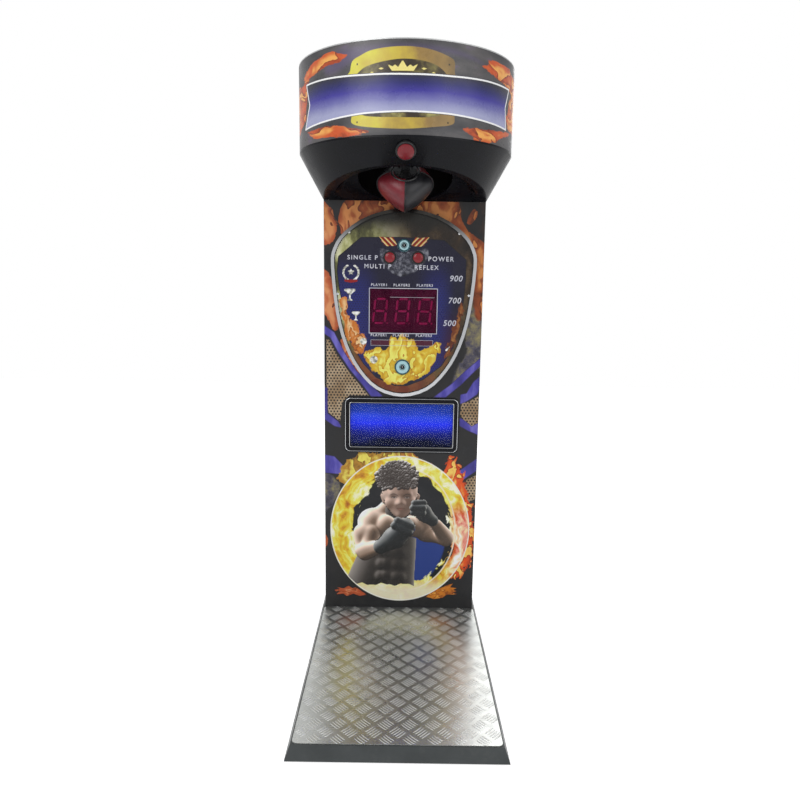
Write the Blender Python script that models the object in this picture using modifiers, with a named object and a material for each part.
"""Boxing punch machine: a floor-standing strength tester with a swinging bag under a curved lit hood.

Metres, +Z up, standing on Z = 0, centred on X = 0 and Y = 0, with its front towards -Y.
"""

import math

import bmesh
import bpy
from mathutils import Matrix, Vector

# Clearances
GAP = 0.0003
RUNNING_GAP = 0.0004
PLAY = 0.0005
MERGE = 0.00005

# Column
COLUMN_WIDTH = 0.600
COLUMN_DEPTH = 0.380
COLUMN_TOP = 1.660
PANEL = 0.015

# Platform and base
PLATFORM_LENGTH = 0.814
BASE_WIDTH = 0.616
BASE_REAR_MARGIN = 0.008
BASE_TOP = 0.047
SKIRT_FLARE = 0.015
SKIRT_WALL = 0.003
SKIRT_LEDGE = 0.014
SKIRT_BOTTOM = 0.006
TREAD_THICKNESS = 0.003
TREAD_BORDER = 0.004
TREAD_CORNER = 0.014
BAR = 0.030
BAR_WALL = 0.003
CROSS_BAR_PLACES = (0.545, 0.275, 0.000)
FOOT_RADIUS = 0.018
FOOT_HEIGHT = 0.009
FOOT_STUD = 0.005
FOOT_INSET = 0.045

# Transport wheels
WHEEL_RADIUS = 0.028
WHEEL_WIDTH = 0.022
WHEEL_X = 0.235
WHEEL_OUTSET = 0.012
WHEEL_LIFT = 0.004
AXLE_RADIUS = 0.005
EAR = 0.004

# Hood
HOOD_HALF_WIDTH = 0.383
HOOD_BULGE = 0.330
HOOD_TOP = 2.100
MARQUEE_BOTTOM = 1.816
LENS = 0.004
SHEET = 0.0035
HOOD_SEGMENTS = 40

# Fascia rim, the lower lip of the hood
RIM_HALF_WIDTH = 0.300
RIM_REACH = 0.262
RIM_FRONT_Z = 1.739
FASCIA = 0.004
FASCIA_BAND = 0.006
SHROUD_GAP = 0.0008

# Recess that the bag swings up into
FLANGE_HALF_WIDTH = 0.262
FLANGE_REACH = 0.2505
PAN_HALF_WIDTH = 0.235
PAN_REACH = 0.207
PAN_BACK_Z = 1.6625
PAN_SLOPE = 0.69
BAG_HOLE_HALF_WIDTH = 0.168
BAG_HOLE_NEAR = -0.006
BAG_HOLE_FAR = 0.188
SLOT_HALF_WIDTH = 0.122
SLOT_BOTTOM = 1.745
SLOT_FAR = 0.2475
ARM_NOTCH_HALF_WIDTH = 0.030

# Swing mechanism: the pivot is forward of the column by PIVOT_REACH
PIVOT_REACH = 0.240
PIVOT_Z = 1.785
STORED_ANGLE = 40.0
SHAFT_RADIUS = 0.010
SHAFT_HALF_LENGTH = 0.112
HUB_RADIUS = 0.018
HUB_HALF_LENGTH = 0.024
ARM_WIDTH = 0.030
ARM_THICKNESS = 0.010
ARM_LENGTH = 0.075
MOUNT_RADIUS = 0.040
MOUNT_THICKNESS = 0.004
BEARING_X = 0.055
BEARING_WIDTH = 0.024
BEARING_HALF_DEPTH = 0.019
BEARING_RADIUS = 0.019
LEVER_X = 0.083
LEVER_LENGTH = 0.057
LEVER_WIDTH = 0.022
LEVER_THICKNESS = 0.008
STOP_REACH = 0.040
ENCODER_X = 0.104
ENCODER_RADIUS = 0.028
ENCODER_SLOTS = 12
ENCODER_THICKNESS = 0.002
SENSOR_WIDTH = 0.015
SENSOR_SLOT = 0.005
STUD_RADIUS = 0.004
MAGNET_RADIUS = 0.016
MAGNET_HEIGHT = 0.012
BUFFER_RADIUS = 0.010
BUFFER_HEIGHT = 0.016
BRACKET = 0.003
BRACKET_HALF_WIDTH = 0.134
BRACKET_DEPTH = 0.043

# Punch bag, measured along its axis from the pivot
BAG_TOP = ARM_LENGTH + MOUNT_THICKNESS + GAP
BAG_LENGTH = 0.176
BAG_RADIUS = 0.100
BAG_PROFILE = (0.42, 0.60, 0.77, 0.90, 0.98, 1.00, 0.985, 0.93, 0.83, 0.68, 0.47)
BAG_SIDES = 32
BAG_SQUARENESS = 1.45

# Steel frame in the hood
TUBE = 0.025
FRAME_TOP = 1.880
LEG_BOTTOM = 1.360
CANTILEVER_X = 0.120
PIVOT_BEAM_HALF = 0.215

# Score panel, a lift-off shield on the column's front
SHIELD_HALF = (
    (0.000, 1.632),
    (0.128, 1.606),
    (0.221, 1.547),
    (0.263, 1.487),
    (0.272, 1.420),
    (0.254, 1.250),
    (0.221, 1.125),
    (0.170, 1.029),
    (0.098, 0.957),
    (0.000, 0.930),
)
SHIELD_STEPS = 3
RIM_WIDTH = 0.012
RIM_DEPTH = 0.016
SHIELD_PLATE = 0.006
DISPLAY_HALF_WIDTH = 0.127
DISPLAY_BOTTOM = 1.174
DISPLAY_TOP = 1.340
WINDOW = 0.003
DISPLAY_BACK = 0.030
MODE_BUTTON_X = 0.053
MODE_BUTTON_Z = 1.455
MODE_CAP_RADIUS = 0.0185
MODE_BEZEL_RADIUS = 0.0245
MODE_SHANK = 0.0215
MODE_BEZEL_HEIGHT = 0.004
MODE_FLOOR = -0.009
MODE_DEPTH = 0.020
MODE_TRAVEL = 0.003
UPPER_LOCK_Z = 1.500
LOWER_LOCK_Z = 1.044
UPPER_LOCK_RADIUS = 0.024
LOWER_LOCK_RADIUS = 0.030
LOCK_SHANK = 0.011
LOCK_PLUG = 0.008
LOCK_FLANGE = 0.004
TONGUE_LENGTH = 0.042
TONGUE_WIDTH = 0.014
TONGUE = 0.002

# Openings in the front panel
SERVICE_HALF_WIDTH = 0.150
SERVICE_BOTTOM = 1.070
SERVICE_TOP = 1.530
NOTCH_HALF_WIDTH = 0.047
NOTCH_BOTTOM = 1.012

# Message screen
SCREEN_HALF_WIDTH = 0.200
SCREEN_BOTTOM = 0.729
SCREEN_TOP = 0.901
BEZEL_BORDER = 0.023
BEZEL_DEPTH = 0.008
BEZEL_CORNER = 0.022
SCREEN_DEPTH = 0.038
SCREEN_SEAT = 0.005
SCREEN_GLASS = 0.003

# Start button on the fascia
START_Z = 1.777
START_CAP_RADIUS = 0.0270
START_BEZEL_RADIUS = 0.0330
START_SHANK = 0.0135
START_BEZEL_HEIGHT = 0.010
START_FLOOR = 0.002
START_DEPTH = 0.022
START_TRAVEL = 0.004

# Rear of the column
BACK_INSET = 0.003
DOOR_HALF_WIDTH = 0.198
DOOR_BOTTOM = 0.350
DOOR_TOP = 1.050
DOOR_GAP = 0.002
HINGE_RADIUS = 0.005
HINGE_PIN = 0.0025
HINGE_LEAF = 0.0015
HINGE_LEAF_WIDTH = 0.032
HINGE_KNUCKLES = 5
LOCK_X = 0.165
LOCK_Z = 0.700
INLET_X = 0.120
INLET_Z = 0.200
INLET_WIDTH = 0.048
INLET_HEIGHT = 0.062

# Inside the column
SPEAKER_Z = 1.200
SPEAKER_RADIUS = 0.052
BOARD_Z = 0.850
BOARD_LENGTH = 0.180
BOARD_HEIGHT = 0.130
STANDOFF = 0.010
SUPPLY_SIZE = (0.110, 0.180, 0.052)

# Lamps behind the marquee
LAMP_RADIUS = 0.013
LAMP_HALF_LENGTH = 0.215
LAMP_REACH = 0.110
LAMP_HEIGHTS = (1.935, 2.025)

BASE_FRONT = -(PLATFORM_LENGTH + SKIRT_FLARE)
WHEEL_Y = COLUMN_DEPTH + BASE_REAR_MARGIN + SKIRT_FLARE + WHEEL_OUTSET
FRONT_Y = -(BASE_FRONT + WHEEL_Y + WHEEL_RADIUS) / 2
REAR_Y = FRONT_Y + COLUMN_DEPTH
PIVOT_Y = FRONT_Y - PIVOT_REACH
SEAT_Z = COLUMN_TOP + GAP

SIDES = ((-1, "left"), (1, "right"))
BLACK = (0.012, 0.012, 0.014, 1.0)
STEEL = (0.45, 0.46, 0.48, 1.0)

materials = {}


def material(name, colour, roughness=0.5, metallic=0.0):
    """Returns the named material, making it the first time."""
    if name not in materials:
        made = bpy.data.materials.new(name)
        made.use_nodes = True
        shader = made.node_tree.nodes["Principled BSDF"]
        shader.inputs["Base Color"].default_value = colour
        shader.inputs["Roughness"].default_value = roughness
        shader.inputs["Metallic"].default_value = metallic
        materials[name] = made
    return materials[name]


def clear_scene():
    for old in list(bpy.data.objects):
        bpy.data.objects.remove(old)


def collection(name):
    made = bpy.data.collections.new(name)
    bpy.context.scene.collection.children.link(made)
    return made


def place(name, mesh, finish, location=(0, 0, 0), rotation=(0, 0, 0)):
    """Puts a mesh in the machine's collection as a named part."""
    part = bpy.data.objects.new(name, mesh)
    part.location = location
    part.rotation_euler = rotation
    mesh.materials.clear()
    mesh.materials.append(finish)
    machine.objects.link(part)
    return part


def as_helper(part):
    """Turns a part into a cutter or a joined piece, which is not a part by itself."""
    machine.objects.unlink(part)
    helpers.objects.link(part)
    part.hide_render = True
    part.display_type = "WIRE"
    return part


def combine(part, operation, *others):
    """Adds a Boolean modifier to part for each other piece."""
    for other in others:
        modifier = part.modifiers.new(f"{operation.lower()} {other.name}", "BOOLEAN")
        modifier.operation = operation
        modifier.object = as_helper(other)
    return part


def cut(part, *cutters):
    return combine(part, "DIFFERENCE", *cutters)


def join(part, *pieces):
    return combine(part, "UNION", *pieces)


def bevel(part, width, segments=1, angle=40):
    modifier = part.modifiers.new("rounded edges", "BEVEL")
    modifier.width = width
    modifier.segments = segments
    modifier.limit_method = "ANGLE"
    modifier.angle_limit = math.radians(angle)
    return part


def box(name, low, high, finish):
    """A box between two corners."""
    low, high = Vector(low), Vector(high)
    bm = bmesh.new()
    bmesh.ops.create_cube(bm, size=1.0)
    bmesh.ops.scale(bm, vec=high - low, verts=bm.verts)
    mesh = bpy.data.meshes.new(name)
    bm.to_mesh(mesh)
    bm.free()
    return place(name, mesh, finish, location=(low + high) / 2)


def facing(direction):
    """The rotation that turns +Z towards a direction."""
    return Vector(direction).to_track_quat("Z", "Y").to_euler()


def cylinder(name, radius, start, end, finish, segments=24):
    """A cylinder between two points."""
    start, end = Vector(start), Vector(end)
    bm = bmesh.new()
    bmesh.ops.create_cone(
        bm,
        cap_ends=True,
        segments=segments,
        radius1=radius,
        radius2=radius,
        depth=(end - start).length,
    )
    mesh = bpy.data.meshes.new(name)
    bm.to_mesh(mesh)
    bm.free()
    mesh.shade_smooth()
    mesh.set_sharp_from_angle(angle=math.radians(35))
    return place(name, mesh, finish, location=(start + end) / 2, rotation=facing(end - start))


def turned(name, profile, start, direction, finish, steps=24):
    """A solid turned about a line from start. The profile's points are (radius, distance along the line).

    It begins and ends on the line, or it is the outline of a ring.
    """
    ring = profile[0][0] > 0
    after = profile[1:] + profile[:1]
    if sum(r1 * a2 - r2 * a1 for (r1, a1), (r2, a2) in zip(profile, after)) > 0:
        profile = profile[::-1]
    mesh = bpy.data.meshes.new(name)
    bm = bmesh.new()
    points = [bm.verts.new((radius, 0.0, along)) for radius, along in profile]
    for first, second in zip(points, points[1:] + points[:1] if ring else points[1:]):
        bm.edges.new((first, second))
    bm.to_mesh(mesh)
    bm.free()
    part = place(name, mesh, finish, location=start, rotation=facing(direction))
    screw = part.modifiers.new("turned", "SCREW")
    screw.axis = "Z"
    screw.steps = steps
    screw.render_steps = steps
    screw.use_merge_vertices = True
    screw.merge_threshold = MERGE
    screw.use_smooth_shade = True
    return part


def prism(name, loops, thickness, finish, location=(0, 0, 0), rotation=(0, 0, 0)):
    """A flat plate with its middle plane at location: an outline, and then any holes."""
    curve = bpy.data.curves.new(name, "CURVE")
    curve.dimensions = "2D"
    curve.fill_mode = "BOTH"
    curve.extrude = thickness / 2
    for loop in loops:
        spline = curve.splines.new("POLY")
        spline.points.add(len(loop) - 1)
        for point, (x, y) in zip(spline.points, loop):
            point.co = (x, y, 0.0, 1.0)
        spline.use_cyclic_u = True
    drawn = bpy.data.objects.new(name + "_outline", curve)
    helpers.objects.link(drawn)
    graph = bpy.context.evaluated_depsgraph_get()
    mesh = bpy.data.meshes.new_from_object(drawn.evaluated_get(graph))
    bpy.data.objects.remove(drawn)
    bm = bmesh.new()
    bm.from_mesh(mesh)
    bmesh.ops.remove_doubles(bm, verts=bm.verts, dist=MERGE / 5)
    bmesh.ops.recalc_face_normals(bm, faces=bm.faces)
    bm.to_mesh(mesh)
    bm.free()
    mesh.name = name
    return place(name, mesh, finish, location=location, rotation=rotation)


def facade(name, loops, back, thickness, finish):
    """A plate that faces -Y, with its outlines in X and Z and its back at Y = back."""
    return prism(name, loops, thickness, finish, (0, back - thickness / 2, 0), (math.pi / 2, 0, 0))


def loft(name, rows, finish, closed=False, cap_first=False, cap_last=False, tip=None):
    """A surface through rows of points. Closed rows join their ends, and a tip closes the last one."""
    bm = bmesh.new()
    grid = [[bm.verts.new(point) for point in row] for row in rows]
    for near, far in zip(grid, grid[1:]):
        last = len(near) if closed else len(near) - 1
        for index in range(last):
            after = (index + 1) % len(near)
            bm.faces.new((near[index], near[after], far[after], far[index]))
    if cap_first:
        bm.faces.new(grid[0][::-1])
    if cap_last:
        bm.faces.new(grid[-1])
    if tip:
        end = bm.verts.new(tip)
        for index, point in enumerate(grid[-1]):
            bm.faces.new((point, grid[-1][(index + 1) % len(grid[-1])], end))
    if closed:
        bmesh.ops.recalc_face_normals(bm, faces=bm.faces)
    mesh = bpy.data.meshes.new(name)
    bm.to_mesh(mesh)
    bm.free()
    return place(name, mesh, finish)


def solidify(part, thickness, offset):
    modifier = part.modifiers.new("sheet", "SOLIDIFY")
    modifier.thickness = thickness
    modifier.offset = offset
    modifier.use_even_offset = True
    return part


def pivot(name, location):
    """An empty on a joint's axis, which the moving parts hang from."""
    empty = bpy.data.objects.new(name, None)
    empty.location = location
    empty.empty_display_size = 0.05
    machine.objects.link(empty)
    return empty


def hang(empty, *parts):
    """Parents parts, with what they are cut by and joined to, to a joint's empty, where they stand."""
    bpy.context.view_layer.update()
    for part in parts:
        part.parent = empty
        part.matrix_parent_inverse = empty.matrix_world.inverted()
        hang(empty, *(modifier.object for modifier in part.modifiers if modifier.type == "BOOLEAN"))


def smooth_loop(points, steps):
    """A closed Catmull-Rom curve through points, with that many steps between two of them."""
    count = len(points)
    loop = []
    for index in range(count):
        a, b, c, d = (Vector(points[(index + k) % count]) for k in (-1, 0, 1, 2))
        for step in range(steps):
            t = step / steps
            loop.append(
                0.5
                * (2 * b + (c - a) * t + (2 * a - 5 * b + 4 * c - d) * t**2 + (3 * b - a - 3 * c + d) * t**3)
            )
    return [tuple(point) for point in loop]


def inset_loop(loop, distance):
    """The loop moved inwards by a distance, for a loop that runs clockwise."""
    count = len(loop)
    moved = []
    for index in range(count):
        before, here, after = (Vector(loop[(index + k) % count]) for k in (-1, 0, 1))
        along = (after - before).normalized()
        moved.append(tuple(here + Vector((along.y, -along.x)) * distance))
    return moved


def shield_loop(inset=0.0):
    """The score panel's outline, clockwise from its top, moved inwards."""
    left = [(-x, z) for x, z in reversed(SHIELD_HALF[1:-1])]
    return inset_loop(smooth_loop(list(SHIELD_HALF) + left, SHIELD_STEPS), inset)


def rectangle_loop(low, high):
    return [low, (high[0], low[1]), high, (low[0], high[1])]


def rounded_loop(low, high, radius, steps=4):
    """A rectangle with round corners."""
    centres = (
        (high[0] - radius, high[1] - radius, 0),
        (low[0] + radius, high[1] - radius, 90),
        (low[0] + radius, low[1] + radius, 180),
        (high[0] - radius, low[1] + radius, 270),
    )
    loop = []
    for x, y, start in centres:
        for step in range(steps + 1):
            angle = math.radians(start + 90 * step / steps)
            loop.append((x + radius * math.cos(angle), y + radius * math.sin(angle)))
    return loop


def circle_loop(x, y, radius, steps=20):
    return [
        (x + radius * math.cos(math.tau * step / steps), y + radius * math.sin(math.tau * step / steps))
        for step in range(steps)
    ]


def hood_arc(half_width, reach):
    """(X, Y) points round the hood's curved front, from its right side to its left."""
    points = []
    for step in range(HOOD_SEGMENTS + 1):
        angle = math.pi * step / HOOD_SEGMENTS
        points.append((half_width * math.cos(angle), FRONT_Y - reach * math.sin(angle)))
    return points


def build_base():
    """The welded channel frame, its sloping skirt, the tread plate, the feet and the transport wheels."""
    black_paint = material("black_paint", BLACK, 0.45)
    frame_paint = material("frame_paint", (0.03, 0.03, 0.033, 1), 0.5, 0.6)
    rubber = material("rubber", (0.02, 0.02, 0.02, 1), 0.8)
    aluminium = material("tread_aluminium", (0.72, 0.73, 0.74, 1), 0.3, 1.0)

    half = BASE_WIDTH / 2
    front = FRONT_Y - PLATFORM_LENGTH
    rear = FRONT_Y + COLUMN_DEPTH + BASE_REAR_MARGIN

    def tapered(name, inset, bottom, top):
        """A block whose sides lean out towards its foot as the skirt's do."""
        slope = SKIRT_FLARE / (BASE_TOP - SKIRT_BOTTOM)
        part = box(name, (-half, front, bottom), (half, rear, top), black_paint)
        for vertex in part.data.vertices:
            lean = slope * (BASE_TOP - (top if vertex.co.z > 0 else bottom)) - inset
            vertex.co.x += lean * math.copysign(1, vertex.co.x)
            vertex.co.y += lean * math.copysign(1, vertex.co.y)
        return part

    skirt = tapered("base_skirt", 0, SKIRT_BOTTOM, BASE_TOP)
    hollow = tapered("skirt_hollow", SKIRT_WALL, SKIRT_BOTTOM - 0.010, BASE_TOP - SKIRT_WALL)
    ledge = SKIRT_WALL + SKIRT_LEDGE
    opening = box(
        "skirt_opening",
        (ledge - half, front + ledge, BASE_TOP - 2 * SKIRT_WALL),
        (half - ledge, rear - ledge, BASE_TOP + 0.010),
        black_paint,
    )
    ear_reach = WHEEL_WIDTH / 2 + EAR + 0.003
    notches = [
        box(
            f"wheel_notch_{side}",
            (sign * WHEEL_X - ear_reach, rear - SKIRT_LEDGE, SKIRT_BOTTOM - 0.010),
            (sign * WHEEL_X + ear_reach, rear + 2 * SKIRT_FLARE, BASE_TOP - SKIRT_WALL),
            black_paint,
        )
        for sign, side in SIDES
    ]
    cut(skirt, hollow, opening, *notches)

    bar_bottom = BASE_TOP - BAR
    outer = half - ledge - GAP
    bar_front = front + ledge + GAP
    bar_rear = rear - ledge - GAP
    middle, length = (bar_front + bar_rear) / 2, bar_rear - bar_front
    spans = [((sign * (outer - BAR / 2), middle), (BAR, length)) for sign, _ in SIDES]
    places = [FRONT_Y + BAR / 2 - reach for reach in CROSS_BAR_PLACES]
    places = [bar_front + BAR / 2, *places, bar_rear - BAR / 2]
    spans += [((0, y), (2 * outer, BAR)) for y in places]

    def bar(name, span, shrink, bottom, top):
        (x, y), (width, depth) = span
        reach_x, reach_y = width / 2 - shrink, depth / 2 - shrink
        return box(name, (x - reach_x, y - reach_y, bottom), (x + reach_x, y + reach_y, top), frame_paint)

    frame = bar("base_frame", spans[0], 0, bar_bottom, BASE_TOP)
    join(frame, *(bar(f"base_bar_{n}", span, 0, bar_bottom, BASE_TOP) for n, span in enumerate(spans[1:])))
    wheel_y = FRONT_Y + WHEEL_Y
    wheel_z = WHEEL_RADIUS + WHEEL_LIFT
    for sign, side in SIDES:
        for flank in (-1, 1):
            x = sign * WHEEL_X + flank * (WHEEL_WIDTH / 2 + EAR / 2 + 0.001)
            ear = box(
                f"wheel_ear_{side}_{flank}",
                (x - EAR / 2, bar_rear - BAR / 2, bar_bottom + 0.002),
                (x + EAR / 2, wheel_y + 0.010, BASE_TOP - SKIRT_WALL - GAP),
                frame_paint,
            )
            join(frame, ear)
    channel = (BAR_WALL, bar_bottom - 0.010, BASE_TOP - BAR_WALL)
    cut(frame, *(bar(f"channel_{n}", span, *channel) for n, span in enumerate(spans)))
    for sign, side in SIDES:
        reach = WHEEL_WIDTH / 2 + EAR + 0.002
        ends = [(sign * WHEEL_X + end * reach, wheel_y, wheel_z) for end in (-1, 1)]
        join(frame, cylinder(f"axle_{side}", AXLE_RADIUS, *ends, frame_paint, 16))
        tyre = [(sign * WHEEL_X + end * WHEEL_WIDTH / 2, wheel_y, wheel_z) for end in (-1, 1)]
        wheel = cylinder(f"transport_wheel_{side}", WHEEL_RADIUS, *tyre, rubber, 28)
        cut(wheel, cylinder(f"wheel_bore_{side}", AXLE_RADIUS + RUNNING_GAP, *ends, rubber, 16))
        hang(pivot(f"wheel_axis_{side}", (sign * WHEEL_X, wheel_y, wheel_z)), wheel)

    for along, end in ((bar_front + FOOT_INSET, "front"), (bar_rear - FOOT_INSET, "rear")):
        for sign, side in SIDES:
            x = sign * (outer - BAR / 2)
            turned(
                f"levelling_foot_{end}_{side}",
                [
                    (0, BASE_TOP - BAR_WALL - GAP),
                    (FOOT_STUD, BASE_TOP - BAR_WALL - GAP),
                    (FOOT_STUD, FOOT_HEIGHT),
                    (FOOT_RADIUS - 0.004, FOOT_HEIGHT),
                    (FOOT_RADIUS, FOOT_HEIGHT - 0.003),
                    (FOOT_RADIUS, 0),
                    (0, 0),
                ],
                (x, along, 0),
                (0, 0, 1),
                rubber,
                16,
            )

    tread_z = BASE_TOP + GAP + TREAD_THICKNESS / 2
    tread = rounded_loop(
        (TREAD_BORDER - half, front + TREAD_BORDER), (half - TREAD_BORDER, FRONT_Y - GAP), TREAD_CORNER
    )
    prism("tread_plate", [tread], TREAD_THICKNESS, aluminium, (0, 0, tread_z))


def build_column():
    """The panels of the column, with the openings that the score panel, the screen and the rear door fill."""
    vinyl = material("black_vinyl", BLACK, 0.35)
    half = COLUMN_WIDTH / 2
    bottom = BASE_TOP + GAP
    rear = REAR_Y

    front = box("front_panel", (-half, FRONT_Y, bottom), (half, FRONT_Y + PANEL, COLUMN_TOP), vinyl)
    seat = SCREEN_SEAT
    openings = (
        ("service_opening", SERVICE_HALF_WIDTH, SERVICE_BOTTOM, SERVICE_TOP),
        ("lock_notch", NOTCH_HALF_WIDTH, NOTCH_BOTTOM, SERVICE_BOTTOM + 0.010),
        ("screen_opening", SCREEN_HALF_WIDTH + seat, SCREEN_BOTTOM - seat, SCREEN_TOP + seat),
    )
    for name, width, low, high in openings:
        cut(front, box(name, (-width, FRONT_Y - 0.010, low), (width, FRONT_Y + PANEL + 0.010, high), vinyl))

    for sign, side in SIDES:
        inner, outer = sorted((sign * (half - PANEL), sign * half))
        box(f"side_panel_{side}", (inner, FRONT_Y + PANEL + GAP, bottom), (outer, rear, COLUMN_TOP), vinyl)

    inside = half - PANEL - GAP
    back_face = rear - BACK_INSET
    back = box("back_panel", (-inside, back_face - PANEL, bottom), (inside, back_face, COLUMN_TOP), vinyl)
    door_reach = DOOR_HALF_WIDTH + DOOR_GAP
    cutters = [
        box(
            "door_opening",
            (-door_reach, back_face - 2 * PANEL, DOOR_BOTTOM - DOOR_GAP),
            (door_reach, back_face + PANEL, DOOR_TOP + DOOR_GAP),
            vinyl,
        ),
        box(
            "inlet_opening",
            (INLET_X - INLET_WIDTH / 2 + 0.004, back_face - 2 * PANEL, INLET_Z - INLET_HEIGHT / 2 + 0.004),
            (INLET_X + INLET_WIDTH / 2 - 0.004, back_face + PANEL, INLET_Z + INLET_HEIGHT / 2 - 0.004),
            vinyl,
        ),
    ]
    for index in range(5):
        z = SPEAKER_Z + (index - 2) * 0.014
        cutters.append(
            box(
                f"speaker_slot_{index}",
                (-0.036, back_face - 2 * PANEL, z - 0.003),
                (0.036, back_face + PANEL, z + 0.003),
                vinyl,
            )
        )
    cut(back, *cutters)


def build_rear_door():
    """The service door on its knuckle hinge, with a cam lock."""
    steel = material("door_steel", BLACK, 0.4, 0.5)
    zinc = material("zinc", STEEL, 0.35, 1.0)
    face = FRONT_Y + COLUMN_DEPTH - BACK_INSET
    axis_x = -(DOOR_HALF_WIDTH + DOOR_GAP / 2)
    axis_y = face + HINGE_LEAF + HINGE_RADIUS - PLAY
    height = (DOOR_TOP - DOOR_BOTTOM - 0.020) / HINGE_KNUCKLES
    start = DOOR_BOTTOM + 0.010

    door = box(
        "rear_door", (-DOOR_HALF_WIDTH, face - PANEL, DOOR_BOTTOM), (DOOR_HALF_WIDTH, face, DOOR_TOP), steel
    )
    fixed = box(
        "door_hinge_leaf",
        (axis_x - HINGE_LEAF_WIDTH, face + GAP, start),
        (axis_x - 0.002, face + GAP + HINGE_LEAF, DOOR_TOP - 0.010),
        zinc,
    )
    moving = box(
        "door_leaf",
        (axis_x + 0.002, face - 0.001, start),
        (axis_x + HINGE_LEAF_WIDTH, face + HINGE_LEAF, DOOR_TOP - 0.010),
        steel,
    )
    knuckles = {"fixed": [], "moving": []}
    for index in range(HINGE_KNUCKLES):
        owner = "fixed" if index % 2 == 0 else "moving"
        sign = -1 if owner == "fixed" else 1
        low = start + index * height + PLAY
        high = start + (index + 1) * height - PLAY
        barrel = cylinder(
            f"knuckle_{index}", HINGE_RADIUS, (axis_x, axis_y, low), (axis_x, axis_y, high), zinc, 16
        )
        web = box(
            f"knuckle_web_{index}",
            (min(axis_x, axis_x + sign * 0.004), face + PLAY, low),
            (max(axis_x, axis_x + sign * 0.004), face + HINGE_LEAF, high),
            zinc,
        )
        knuckles[owner] += [barrel, web]
    pin = cylinder(
        "hinge_pin", HINGE_PIN, (axis_x, axis_y, start), (axis_x, axis_y, DOOR_TOP - 0.010), zinc, 12
    )
    bores = cylinder(
        "pin_bore",
        HINGE_PIN + RUNNING_GAP,
        (axis_x, axis_y, start + 0.001),
        (axis_x, axis_y, DOOR_TOP - 0.011),
        zinc,
        12,
    )
    reliefs = []
    for index in range(HINGE_KNUCKLES):
        low, high = start + index * height, start + (index + 1) * height
        reach = HINGE_RADIUS + 2 * RUNNING_GAP
        width = (axis_x - 0.006, axis_x) if index % 2 else (axis_x, axis_x + 0.006)
        reliefs.append((index, low - GAP, high + GAP, width, reach))
    for index, low, high, (near, far), reach in reliefs:
        owner = fixed if index % 2 else moving
        relief = box(
            f"knuckle_relief_{index}",
            (near, face + MERGE, low),
            (far, face + HINGE_LEAF + reach, high),
            zinc,
        )
        cut(owner, relief)
    join(fixed, *knuckles["fixed"], pin)
    join(door, moving, *knuckles["moving"])
    lock_hole = cylinder(
        "door_lock_hole",
        0.0093,
        (LOCK_X, face - 2 * PANEL, LOCK_Z),
        (LOCK_X, face + PANEL, LOCK_Z),
        steel,
        20,
    )
    cut(door, bores, lock_hole)
    hang(pivot("door_axis", (axis_x, axis_y, DOOR_BOTTOM)), door)

    lock = turned(
        "door_lock",
        [
            (0, -0.003),
            (0.012, -0.003),
            (0.012, -GAP),
            (0.009, -GAP),
            (0.009, PANEL + 0.002),
            (0, PANEL + 0.002),
        ],
        (LOCK_X, face, LOCK_Z),
        (0, -1, 0),
        zinc,
        20,
    )
    join(lock, tongue("door_tongue", LOCK_X, LOCK_Z, face - PANEL - TONGUE - PLAY, (0, 1), zinc))
    hang(pivot("door_lock_axis", (LOCK_X, face, LOCK_Z)), lock)


def tongue(name, x, z, y, direction, finish):
    """A lock's flat tongue, from its plug towards a direction in X and Z."""
    across = TONGUE_WIDTH / 2
    reach_x = (-across, TONGUE_LENGTH) if direction[0] else (-across, across)
    reach_z = (-across, TONGUE_LENGTH) if direction[1] else (-across, across)
    low = (x + reach_x[0], y, z + reach_z[0])
    return box(name, low, (x + reach_x[1], y + TONGUE, z + reach_z[1]), finish)


def push_button(name, centre, direction, sizes, cap_finish, body_finish):
    """A push button on a face: its body goes through the face, and its cap slides in the body."""
    cap, bezel, shank, height, floor, depth, travel = sizes
    well = cap + RUNNING_GAP
    stem = min(cap, shank) * 0.45
    bore = stem + RUNNING_GAP
    bottom = -depth + 0.003
    turned(
        f"{name}_body",
        [
            (0, bottom),
            (bore, bottom),
            (bore, floor),
            (well, floor),
            (well, height),
            (bezel - 0.002, height),
            (bezel, height - 0.002),
            (bezel, GAP),
            (shank, GAP),
            (shank, -depth),
            (0, -depth),
        ],
        centre,
        direction,
        body_finish,
        32,
    )
    under = floor + travel + RUNNING_GAP
    top = height + cap * 0.22
    button = turned(
        f"{name}_cap",
        [
            (0, top + cap * 0.14),
            (cap * 0.45, top + cap * 0.11),
            (cap * 0.8, top + cap * 0.04),
            (cap, top - cap * 0.10),
            (cap, under),
            (stem, under),
            (stem, bottom + travel + RUNNING_GAP),
            (0, bottom + travel + RUNNING_GAP),
        ],
        centre,
        direction,
        cap_finish,
        32,
    )
    hang(pivot(f"{name}_axis", centre), button)


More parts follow.
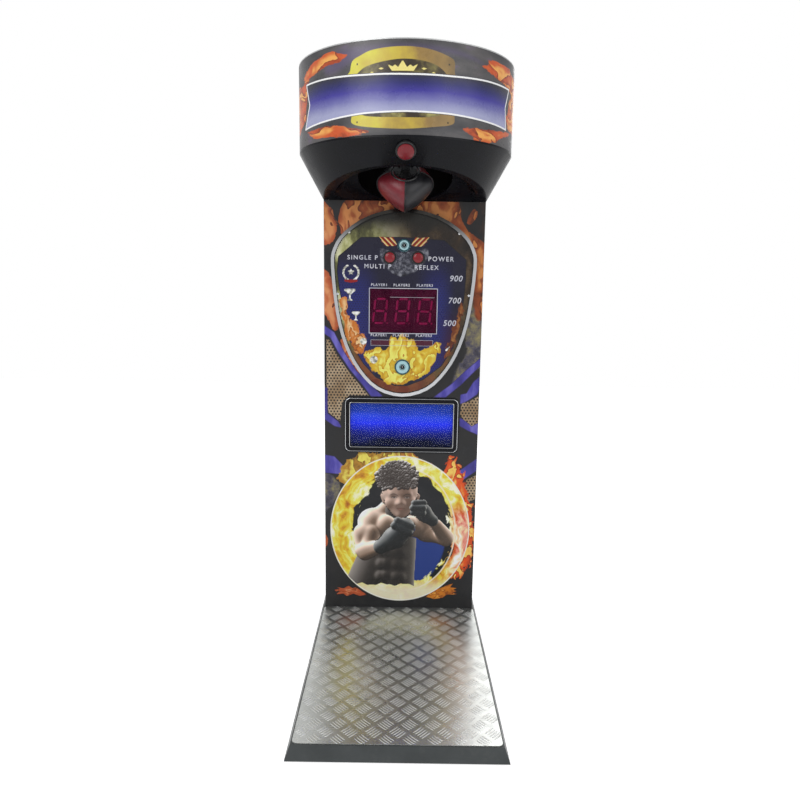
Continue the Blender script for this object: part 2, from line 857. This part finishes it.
def build_score_panel():
    """The shield-shaped panel on the column's front, with its display, buttons and cam locks."""
    chrome = material("chrome", (0.6, 0.6, 0.62, 1), 0.15, 1.0)
    print_finish = material("printed_panel", (0.03, 0.025, 0.09, 1), 0.3)
    smoked = material("smoked_acrylic", (0.05, 0.01, 0.03, 1), 0.1)
    plastic = material("black_plastic", BLACK, 0.4)
    red = material("red_plastic", (0.5, 0.02, 0.03, 1), 0.25)
    zinc = material("zinc", STEEL, 0.35, 1.0)

    back = FRONT_Y - GAP
    face = back - SHIELD_PLATE
    facade("shield_rim", [shield_loop(), shield_loop(RIM_WIDTH)], back, RIM_DEPTH, chrome)
    holes = [rectangle_loop((-DISPLAY_HALF_WIDTH, DISPLAY_BOTTOM), (DISPLAY_HALF_WIDTH, DISPLAY_TOP))]
    holes += [circle_loop(sign * MODE_BUTTON_X, MODE_BUTTON_Z, MODE_SHANK + GAP, 32) for sign, _ in SIDES]
    holes += [circle_loop(0, z, LOCK_SHANK + GAP, 24) for z in (UPPER_LOCK_Z, LOWER_LOCK_Z)]
    facade("shield_plate", [shield_loop(RIM_WIDTH + GAP), *holes], back, SHIELD_PLATE, print_finish)

    low = (GAP - DISPLAY_HALF_WIDTH, DISPLAY_BOTTOM + GAP)
    high = (DISPLAY_HALF_WIDTH - GAP, DISPLAY_TOP - GAP)
    facade("display_window", [rectangle_loop(low, high)], face + WINDOW, WINDOW, smoked)
    width = (high[0] - low[0] - 2 * GAP) / 3
    for index, where in enumerate(("hundreds", "tens", "units")):
        x = low[0] + index * (width + GAP)
        box(
            f"display_digit_{where}",
            (x, face + WINDOW + GAP, low[1]),
            (x + width, FRONT_Y + DISPLAY_BACK, high[1]),
            plastic,
        )

    sizes = (
        MODE_CAP_RADIUS,
        MODE_BEZEL_RADIUS,
        MODE_SHANK,
        MODE_BEZEL_HEIGHT,
        MODE_FLOOR,
        MODE_DEPTH,
        MODE_TRAVEL,
    )
    for sign, side in SIDES:
        centre = (sign * MODE_BUTTON_X, face, MODE_BUTTON_Z)
        push_button(f"mode_button_{side}", centre, (0, -1, 0), sizes, red, plastic)

    tongue_y = FRONT_Y + PANEL + PLAY
    locks = (("upper", UPPER_LOCK_Z, UPPER_LOCK_RADIUS), ("lower", LOWER_LOCK_Z, LOWER_LOCK_RADIUS))
    for where, z, radius in locks:
        bore = LOCK_PLUG + RUNNING_GAP
        length = FRONT_Y + PANEL - 0.003 - face
        turned(
            f"{where}_lock_barrel",
            [
                (bore, LOCK_FLANGE),
                (radius - LOCK_FLANGE, LOCK_FLANGE),
                (radius, 0.001),
                (radius, GAP),
                (LOCK_SHANK, GAP),
                (LOCK_SHANK, -length),
                (bore, -length),
            ],
            (0, face, z),
            (0, -1, 0),
            chrome,
            32,
        )
        plug = cylinder(
            f"{where}_lock_plug",
            LOCK_PLUG,
            (0, face - LOCK_FLANGE + PLAY, z),
            (0, tongue_y + TONGUE / 2, z),
            zinc,
            24,
        )
        join(plug, tongue(f"{where}_tongue", 0, z, tongue_y, (1, 0), zinc))
        hang(pivot(f"{where}_lock_axis", (0, face, z)), plug)


def build_screen():
    """The message screen: a rounded bezel on the panel, and the glass and module in its opening."""
    plastic = material("black_plastic", BLACK, 0.4)
    glass = material("screen_glass", (0.02, 0.03, 0.2, 1), 0.08)
    low, high = (-SCREEN_HALF_WIDTH, SCREEN_BOTTOM), (SCREEN_HALF_WIDTH, SCREEN_TOP)

    def grown(amount):
        return (low[0] - amount, low[1] - amount), (high[0] + amount, high[1] + amount)

    outline = rounded_loop(*grown(BEZEL_BORDER), BEZEL_CORNER, 6)
    facade("screen_bezel", [outline, rounded_loop(low, high, 0.005)], FRONT_Y - GAP, BEZEL_DEPTH, plastic)
    seat = rectangle_loop(*grown(SCREEN_SEAT - GAP))
    glass_back = FRONT_Y + GAP + SCREEN_GLASS
    facade("screen_glass", [seat], glass_back, SCREEN_GLASS, glass)
    module_back = FRONT_Y + SCREEN_DEPTH
    facade("screen_module", [seat], module_back, module_back - glass_back - GAP, plastic)


def build_hood():
    """The lit marquee, the black moulding under it, and the sheets that close the hood behind."""
    acrylic = material("marquee_acrylic", (0.25, 0.10, 0.06, 1), 0.3)
    gloss = material("gloss_black", BLACK, 0.2)
    top = HOOD_TOP - SHEET - GAP
    arc = hood_arc(HOOD_HALF_WIDTH, HOOD_BULGE)

    rows = [[(x, y, z) for x, y in arc] for z in (top, MARQUEE_BOTTOM + GAP)]
    solidify(loft("hood_marquee", rows, acrylic), LENS, -1)

    lip_rise = (RIM_FRONT_Z - SEAT_Z) / RIM_REACH
    rings = (
        (HOOD_HALF_WIDTH, HOOD_BULGE, MARQUEE_BOTTOM, 0),
        (HOOD_HALF_WIDTH, HOOD_BULGE, MARQUEE_BOTTOM - FASCIA_BAND, 0),
        (RIM_HALF_WIDTH, RIM_REACH, SEAT_Z, lip_rise),
        (FLANGE_HALF_WIDTH, FLANGE_REACH, SEAT_Z, lip_rise),
        (PAN_HALF_WIDTH, PAN_REACH, PAN_BACK_Z, PAN_SLOPE),
    )
    rows = []
    for half_width, reach, back_z, rise in rings:
        ring = hood_arc(half_width, reach)
        rows.append([(x, y - SHROUD_GAP, back_z + rise * (FRONT_Y - y)) for x, y in ring])
    shroud = loft("hood_shroud", rows, gloss, cap_last=True)
    solidify(shroud, FASCIA, -1)
    hole_reach = (BAG_HOLE_FAR - BAG_HOLE_NEAR) / 2
    hole = prism(
        "bag_hole",
        [[(x * BAG_HOLE_HALF_WIDTH, y * hole_reach) for x, y in circle_loop(0, 0, 1, 36)]],
        0.200,
        gloss,
        (0, FRONT_Y - BAG_HOLE_NEAR - hole_reach, PAN_BACK_Z + 0.060),
    )
    slot = box(
        "mechanism_slot",
        (-SLOT_HALF_WIDTH, FRONT_Y - SLOT_FAR, SLOT_BOTTOM),
        (SLOT_HALF_WIDTH, FRONT_Y - BAG_HOLE_FAR / 2, MARQUEE_BOTTOM + 0.050),
        gloss,
    )
    notch = box(
        "arm_notch",
        (-ARM_NOTCH_HALF_WIDTH, FRONT_Y - SLOT_FAR - 0.001, RIM_FRONT_Z - 0.060),
        (ARM_NOTCH_HALF_WIDTH, FRONT_Y - BAG_HOLE_FAR / 2, SLOT_BOTTOM + 0.020),
        gloss,
    )
    fascia_rise = MARQUEE_BOTTOM - FASCIA_BAND - RIM_FRONT_Z
    fascia_run = HOOD_BULGE - RIM_REACH
    button_y = FRONT_Y - RIM_REACH - fascia_run * (START_Z - RIM_FRONT_Z) / fascia_rise
    inwards = Vector((0, fascia_rise, fascia_run)).normalized()
    centre = Vector((0, button_y - SHROUD_GAP, START_Z))
    button_hole = cylinder(
        "start_button_hole",
        START_SHANK + GAP,
        centre - 0.010 * inwards,
        centre + 0.015 * inwards,
        gloss,
        32,
    )
    cut(shroud, hole, slot, notch, button_hole)
    sizes = (
        START_CAP_RADIUS,
        START_BEZEL_RADIUS,
        START_SHANK,
        START_BEZEL_HEIGHT,
        START_FLOOR,
        START_DEPTH,
        START_TRAVEL,
    )
    red = material("red_plastic", (0.5, 0.02, 0.03, 1), 0.25)
    plastic = material("black_plastic", BLACK, 0.4)
    push_button("start_button", centre, -inwards, sizes, red, plastic)

    vinyl = material("black_vinyl", BLACK, 0.35)
    half = COLUMN_WIDTH / 2
    inner = HOOD_HALF_WIDTH - SHEET
    profile = [
        (half - PANEL, SEAT_Z),
        (half, SEAT_Z),
        (HOOD_HALF_WIDTH, MARQUEE_BOTTOM),
        (HOOD_HALF_WIDTH, top),
    ]
    for sign, side in SIDES:
        rows = [[(sign * x, y, z) for x, z in profile] for y in (FRONT_Y + GAP, REAR_Y)]
        solidify(loft(f"hood_side_{side}", rows, vinyl), SHEET, sign)
    slope = (HOOD_HALF_WIDTH - half) / (MARQUEE_BOTTOM - SEAT_Z)
    lean = SHEET * math.hypot(1, slope) + GAP
    low_z = SEAT_Z + SHEET + GAP
    low_x = half + slope * (low_z - SEAT_Z) - lean
    back_loop = [
        (-low_x, low_z),
        (low_x, low_z),
        (inner - GAP, MARQUEE_BOTTOM + SHEET),
        (inner - GAP, top),
        (GAP - inner, top),
        (GAP - inner, MARQUEE_BOTTOM + SHEET),
    ]
    facade("hood_back", [back_loop], REAR_Y, SHEET, vinyl)
    lid = [(-x, y) for x, y in arc] + [(HOOD_HALF_WIDTH, REAR_Y), (-HOOD_HALF_WIDTH, REAR_Y)]
    prism("hood_top", [lid], SHEET, vinyl, (0, 0, HOOD_TOP - SHEET / 2))


def build_hood_frame():
    """The welded tube frame that carries the pivot and the lamps, standing against the column's panels."""
    tube_paint = material("frame_paint", (0.03, 0.03, 0.033, 1), 0.5, 0.6)
    white = material("lamp_white", (0.9, 0.9, 0.88, 1), 0.4)
    bottom = FRAME_TOP - TUBE
    fore = FRONT_Y + PANEL + GAP
    aft = REAR_Y - BACK_INSET - PANEL - GAP
    beams = {
        "front_beam": ((-PIVOT_BEAM_HALF, fore), (PIVOT_BEAM_HALF, fore + TUBE)),
        "rear_beam": ((-PIVOT_BEAM_HALF, aft - TUBE), (PIVOT_BEAM_HALF, aft)),
    }
    for sign, side in SIDES:
        x = sign * CANTILEVER_X
        beams[f"cantilever_{side}"] = ((x - TUBE / 2, PIVOT_Y), (x + TUBE / 2, aft - TUBE / 2))
    frame = box(
        "hood_frame",
        (-PIVOT_BEAM_HALF, PIVOT_Y - TUBE / 2, bottom),
        (PIVOT_BEAM_HALF, PIVOT_Y + TUBE / 2, FRAME_TOP),
        tube_paint,
    )
    pieces = [
        box(name, (*low, bottom), (*high, FRAME_TOP), tube_paint)
        for name, (low, high) in beams.items()
    ]
    for y, row in ((fore, "front"), (aft - TUBE, "rear")):
        for sign, side in SIDES:
            x = sign * (PIVOT_BEAM_HALF - TUBE / 2)
            pieces.append(
                box(
                    f"leg_{row}_{side}",
                    (x - TUBE / 2, y, LEG_BOTTOM),
                    (x + TUBE / 2, y + TUBE, bottom + 0.010),
                    tube_paint,
                )
            )
    join(frame, *pieces)

    lamp_y = FRONT_Y - LAMP_REACH
    rack_y = lamp_y + LAMP_RADIUS + GAP
    box(
        "lamp_rack",
        (-LAMP_HALF_LENGTH, rack_y, FRAME_TOP + GAP),
        (LAMP_HALF_LENGTH, rack_y + BRACKET, LAMP_HEIGHTS[-1] + 0.020),
        tube_paint,
    )
    for name, z in zip(("lamp_lower", "lamp_upper"), LAMP_HEIGHTS):
        cylinder(name, LAMP_RADIUS, (-LAMP_HALF_LENGTH, lamp_y, z), (LAMP_HALF_LENGTH, lamp_y, z), white, 16)


def bag_loop(radius, along, roundness):
    """A ring of the bag: a rounded square with its corners to the left, right, front and back."""
    loop = []
    for step in range(BAG_SIDES):
        angle = math.tau * step / BAG_SIDES
        c, s = math.cos(angle), math.sin(angle)
        reach = radius * (abs(c) ** roundness + abs(s) ** roundness) ** (-1 / roundness)
        loop.append((reach * c, reach * s, -along))
    return loop


def build_swing():
    """The pivot shaft with its arm, bag, levers and encoder disc, in its bearings under the hood's frame."""
    steel = material("zinc", STEEL, 0.35, 1.0)
    arm_paint = material("arm_paint", BLACK, 0.3, 0.4)
    leather = material("bag_vinyl", (0.35, 0.02, 0.03, 1), 0.3)
    dark = material("black_plastic", BLACK, 0.4)
    rubber = material("rubber", (0.02, 0.02, 0.02, 1), 0.8)
    axis = Vector((0, PIVOT_Y, PIVOT_Z))
    swing = pivot("bag_axis", axis)

    arm = cylinder(
        "swing_arm",
        SHAFT_RADIUS,
        axis - Vector((SHAFT_HALF_LENGTH, 0, 0)),
        axis + Vector((SHAFT_HALF_LENGTH, 0, 0)),
        arm_paint,
        24,
    )
    hub = cylinder(
        "arm_hub",
        HUB_RADIUS,
        axis - Vector((HUB_HALF_LENGTH, 0, 0)),
        axis + Vector((HUB_HALF_LENGTH, 0, 0)),
        arm_paint,
        32,
    )
    flat = Vector((ARM_WIDTH / 2, ARM_THICKNESS / 2, 0))
    bar = box("arm_bar", axis - flat - Vector((0, 0, ARM_LENGTH + 0.001)), axis + flat, arm_paint)
    plate = cylinder(
        "bag_mount",
        MOUNT_RADIUS,
        axis - Vector((0, 0, ARM_LENGTH)),
        axis - Vector((0, 0, ARM_LENGTH + MOUNT_THICKNESS)),
        arm_paint,
        32,
    )
    join(arm, hub, bar, plate)

    rows = []
    for index, share in enumerate(BAG_PROFILE):
        ripple = BAG_SQUARENESS + (2 - BAG_SQUARENESS) * max(0, 0.5 - index / 6)
        rows.append(bag_loop(share * BAG_RADIUS, BAG_TOP + bag_along(index), ripple))
    bag = loft("punch_bag", rows, leather, closed=True, cap_first=True, tip=(0, 0, -BAG_TOP - BAG_LENGTH))
    bag.location = axis

    disc_loops = [circle_loop(0, 0, ENCODER_RADIUS, 36), circle_loop(0, 0, SHAFT_RADIUS + GAP, 24)]
    for index in range(ENCODER_SLOTS):
        turn = Matrix.Rotation(math.tau * index / ENCODER_SLOTS, 2)
        corners = ((0.016, -0.0015), (0.024, -0.002), (0.024, 0.002), (0.016, 0.0015))
        disc_loops.append([tuple(turn @ Vector(corner)) for corner in corners])
    disc = prism(
        "encoder_disc",
        disc_loops,
        ENCODER_THICKNESS,
        steel,
        axis + Vector((ENCODER_X, 0, 0)),
        (0, math.pi / 2, 0),
    )
    hang(swing, arm, bag, disc)
    swing.rotation_euler.x = math.radians(90 - STORED_ANGLE)

    for sign, side in SIDES:
        lever = box(
            f"stop_lever_{side}",
            (sign * LEVER_X - LEVER_WIDTH / 2, PIVOT_Y, PIVOT_Z - LEVER_THICKNESS / 2),
            (sign * LEVER_X + LEVER_WIDTH / 2, PIVOT_Y + LEVER_LENGTH, PIVOT_Z + LEVER_THICKNESS / 2),
            arm_paint,
        )
        join(arm, lever)
        hang(swing, lever)

    beam = FRAME_TOP - TUBE - GAP
    for sign, side in SIDES:
        x = sign * BEARING_X
        block = box(
            f"pivot_bearing_{side}",
            (x - BEARING_WIDTH / 2, PIVOT_Y - BEARING_HALF_DEPTH, PIVOT_Z - BEARING_RADIUS),
            (x + BEARING_WIDTH / 2, PIVOT_Y + BEARING_HALF_DEPTH, beam),
            steel,
        )
        bore = cylinder(
            f"bearing_bore_{side}",
            SHAFT_RADIUS + RUNNING_GAP,
            (x - BEARING_WIDTH, PIVOT_Y, PIVOT_Z),
            (x + BEARING_WIDTH, PIVOT_Y, PIVOT_Z),
            steel,
            24,
        )
        cut(block, bore)

    near = PIVOT_Y + BEARING_HALF_DEPTH + GAP
    box(
        "mechanism_bracket",
        (-BRACKET_HALF_WIDTH, near, beam - BRACKET),
        (BRACKET_HALF_WIDTH, near + BRACKET_DEPTH, beam),
        arm_paint,
    )
    lever_top = PIVOT_Z + LEVER_THICKNESS / 2
    hung = beam - BRACKET - GAP - lever_top - GAP
    stops = (
        ("hold_magnet", -LEVER_X, MAGNET_RADIUS, MAGNET_HEIGHT, steel),
        ("stop_buffer", LEVER_X, BUFFER_RADIUS, BUFFER_HEIGHT, rubber),
    )
    for name, x, radius, height, finish in stops:
        turned(
            name,
            [(0, 0), (radius, 0), (radius, height), (STUD_RADIUS, height), (STUD_RADIUS, hung), (0, hung)],
            (x, PIVOT_Y + STOP_REACH, lever_top + GAP),
            (0, 0, 1),
            finish,
            24,
        )
    sensor = box(
        "encoder_sensor",
        (ENCODER_X - SENSOR_WIDTH / 2, near, PIVOT_Z + 0.006),
        (ENCODER_X + SENSOR_WIDTH / 2, near + 0.024, beam - BRACKET - GAP),
        dark,
    )
    fork = box(
        "sensor_slot",
        (ENCODER_X - SENSOR_SLOT / 2, near - 0.010, PIVOT_Z),
        (ENCODER_X + SENSOR_SLOT / 2, near + 0.040, PIVOT_Z + ENCODER_RADIUS + 0.004),
        dark,
    )
    cut(sensor, fork)


def bag_along(index):
    """The distance of one of the bag's rings from its top: the rings lie closer together towards its end."""
    return BAG_LENGTH * 0.985 * math.sin(math.pi / 2 * index / (len(BAG_PROFILE) - 1))


def build_inside():
    """The control board, power supply and speaker, and the mains inlet with its switch."""
    green = material("circuit_board", (0.02, 0.12, 0.05, 1), 0.5)
    alloy = material("supply_case", (0.5, 0.5, 0.5, 1), 0.4, 0.9)
    dark = material("black_plastic", BLACK, 0.4)
    half = COLUMN_WIDTH / 2
    wall = half - PANEL - GAP
    inner_back = REAR_Y - BACK_INSET - PANEL - GAP

    board_y = FRONT_Y + COLUMN_DEPTH / 2 - BOARD_LENGTH / 2
    board_x = STANDOFF - wall
    board = box(
        "control_board",
        (board_x, board_y, BOARD_Z),
        (board_x + 0.002, board_y + BOARD_LENGTH, BOARD_Z + BOARD_HEIGHT),
        green,
    )
    parts = []
    for y in (0.010, BOARD_LENGTH - 0.010):
        for z in (0.010, BOARD_HEIGHT - 0.010):
            corner = (board_y + y, BOARD_Z + z)
            ends = ((-wall, *corner), (board_x + 0.001, *corner))
            parts.append(cylinder(f"standoff_{len(parts)}", 0.004, *ends, green, 12))
    chips = (
        ("processor", 0.070, 0.060, 0.030, 0.030, 0.005),
        ("amplifier", 0.130, 0.030, 0.030, 0.040, 0.020),
        ("terminal_row", 0.030, 0.105, 0.110, 0.012, 0.012),
    )
    for name, y, z, length, height, depth in chips:
        low = (board_x + 0.001, board_y + y, BOARD_Z + z)
        parts.append(box(name, low, (board_x + 0.002 + depth, low[1] + length, low[2] + height), green))
    join(board, *parts)

    floor = BASE_TOP + GAP
    fore = FRONT_Y + PANEL + GAP
    vinyl = material("black_vinyl", BLACK, 0.35)
    box("bottom_board", (-wall, fore, floor), (wall, inner_back, floor + PANEL), vinyl)
    width, length, height = SUPPLY_SIZE
    stand = floor + PANEL + GAP
    supply = box(
        "power_supply",
        (-width / 2, FRONT_Y + 0.100, stand),
        (width / 2, FRONT_Y + 0.100 + length, stand + height),
        alloy,
    )
    bevel(supply, 0.0015)

    rim = SPEAKER_RADIUS
    turned(
        "speaker",
        [
            (0, 0.020),
            (rim * 0.25, 0.020),
            (rim * 0.86, 0.003),
            (rim * 0.86, 0),
            (rim, 0),
            (rim, 0.004),
            (rim * 0.6, 0.030),
            (rim * 0.6, 0.046),
            (0, 0.046),
        ],
        (0, inner_back, SPEAKER_Z),
        (0, -1, 0),
        dark,
        28,
    )

    face = REAR_Y - BACK_INSET + GAP
    inlet_low = (INLET_X - INLET_WIDTH / 2, INLET_Z - INLET_HEIGHT / 2)
    inlet_high = (INLET_X + INLET_WIDTH / 2, INLET_Z + INLET_HEIGHT / 2)
    inlet = box(
        "power_inlet",
        (inlet_low[0], face, inlet_low[1]),
        (inlet_high[0], face + 0.003, inlet_high[1]),
        dark,
    )
    body = box(
        "inlet_body",
        (inlet_low[0] + 0.0045, inner_back - 0.015, inlet_low[1] + 0.0045),
        (inlet_high[0] - 0.0045, face + 0.001, inlet_high[1] - 0.0045),
        dark,
    )
    join(inlet, body)
    socket = box(
        "inlet_socket",
        (INLET_X - 0.0125, face - 0.016, INLET_Z - 0.020),
        (INLET_X + 0.0125, face + 0.010, INLET_Z - 0.004),
        dark,
    )
    recess = box(
        "rocker_recess",
        (INLET_X - 0.0115, face - 0.010, INLET_Z + 0.004),
        (INLET_X + 0.0115, face + 0.010, INLET_Z + 0.024),
        dark,
    )
    cut(inlet, socket, recess)
    rocker = cylinder(
        "power_switch",
        0.0085,
        (INLET_X - 0.0115 + RUNNING_GAP, face - 0.001, INLET_Z + 0.014),
        (INLET_X + 0.0115 - RUNNING_GAP, face - 0.001, INLET_Z + 0.014),
        dark,
        20,
    )
    hang(pivot("power_switch_axis", (INLET_X, face - 0.001, INLET_Z + 0.014)), rocker)


clear_scene()
machine = collection("boxing_punch_machine")
helpers = collection("helpers")
helpers.hide_render = True
build_base()
build_column()
build_rear_door()
build_score_panel()
build_screen()
build_hood()
build_hood_frame()
build_swing()
build_inside()
